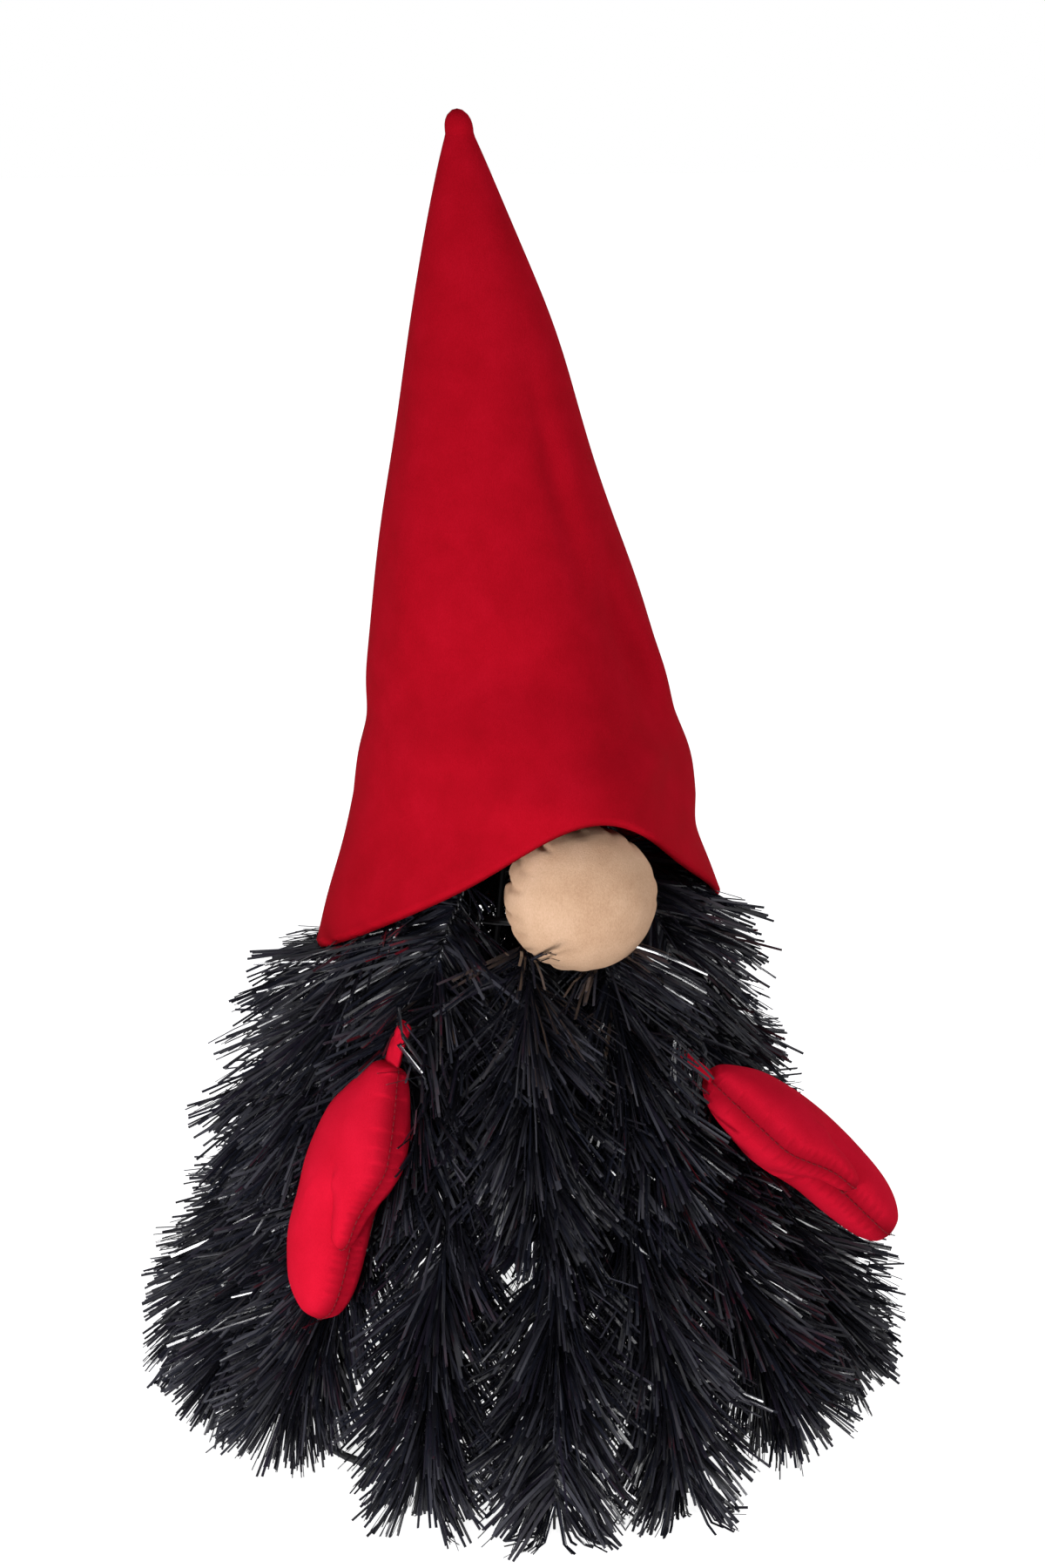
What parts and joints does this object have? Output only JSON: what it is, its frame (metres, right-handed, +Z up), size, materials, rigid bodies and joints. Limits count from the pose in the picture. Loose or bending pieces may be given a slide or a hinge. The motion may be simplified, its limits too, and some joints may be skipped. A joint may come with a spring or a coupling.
{
  "type": "tomte gnome figurine",
  "caption": "Standing gnome figure: a wire cage dressed in black bristle branches, under a tall red felt cone hat that lifts off, with a round nose and two hanging stuffed mittens.",
  "frame": {"origin": "middle of the base on the surface it stands on, centred on the bounding box in X and Y", "axes": "+Z up; the gnome faces -Y, with its nose at the front; +X is on the viewer's right as the gnome faces the viewer"},
  "size_m": [0.4066, 0.4066, 0.722],
  "materials": {
    "black_steel_wire": "satin",
    "black_bristle": "satin",
    "red_felt": "matte",
    "filling": "matte",
    "fleece": "matte",
    "thread": "matte"
  },
  "bodies": {
    "skirt": {"base_ring": "black_steel_wire", "lower_ring": "black_steel_wire", "middle_ring": "black_steel_wire", "upper_ring": "black_steel_wire", "collar_ring": "black_steel_wire", "leg_1": "black_steel_wire", "leg_2": "black_steel_wire", "leg_3": "black_steel_wire", "leg_4": "black_steel_wire", "apex_tie": "black_steel_wire", "long_branch_01": "black_bristle", "long_branch_02": "black_bristle", "long_branch_03": "black_bristle", "long_branch_04": "black_bristle", "long_branch_05": "black_bristle", "long_branch_06": "black_bristle", "long_branch_07": "black_bristle", "long_branch_08": "black_bristle", "long_branch_09": "black_bristle", "long_branch_10": "black_bristle", "long_branch_11": "black_bristle", "long_branch_12": "black_bristle", "long_branch_13": "black_bristle", "long_branch_14": "black_bristle", "long_branch_15": "black_bristle", "long_branch_16": "black_bristle", "short_branch_01": "black_bristle", "short_branch_02": "black_bristle", "short_branch_03": "black_bristle", "short_branch_04": "black_bristle", "short_branch_05": "black_bristle", "short_branch_06": "black_bristle", "short_branch_07": "black_bristle", "short_branch_08": "black_bristle", "short_branch_09": "black_bristle", "short_branch_10": "black_bristle", "short_branch_11": "black_bristle", "short_branch_12": "black_bristle", "nose_cover": "fleece", "nose_stuffing": "filling", "nose_thread": "thread", "nose_wire": "black_steel_wire", "left_tie": "black_steel_wire", "right_tie": "black_steel_wire"},
    "hat": {"hat_shell": "red_felt", "hat_stuffing": "filling"},
    "left_cuff": {"left_tab": "red_felt"},
    "left_mitten": {"left_front_panel": "red_felt", "left_back_panel": "red_felt", "left_mitten_stuffing": "filling"},
    "right_cuff": {"right_tab": "red_felt"},
    "right_mitten": {"right_front_panel": "red_felt", "right_back_panel": "red_felt", "right_mitten_stuffing": "filling"}
  },
  "joints": [
    {"name": "hat_lift", "type": "slide", "parent": "skirt", "child": "hat", "axis": [0, 0, 1], "range_m": [0, 0.22]},
    {"name": "left_mitten_swing", "type": "hinge", "parent": "skirt", "child": "left_cuff", "pos_m": [-0.09369, -0.10498, 0.25561], "axis": [-0.9006, -0.2413, 0.3616], "range_deg": [0, 20]},
    {"name": "left_mitten_fold", "type": "hinge", "parent": "left_cuff", "child": "left_mitten", "pos_m": [-0.10078, -0.10714, 0.2365], "axis": [-0.2631, 0.9647, -0.0114], "range_deg": [0, 50]},
    {"name": "right_mitten_swing", "type": "hinge", "parent": "skirt", "child": "right_cuff", "pos_m": [0.05067, -0.12883, 0.23538], "axis": [0.635, -0.1701, 0.7536], "range_deg": [-45, 0]},
    {"name": "right_mitten_fold", "type": "hinge", "parent": "right_cuff", "child": "right_mitten", "pos_m": [0.06607, -0.13067, 0.22198], "axis": [-0.1787, -0.9813, -0.071], "range_deg": [0, 50]}
  ]
}
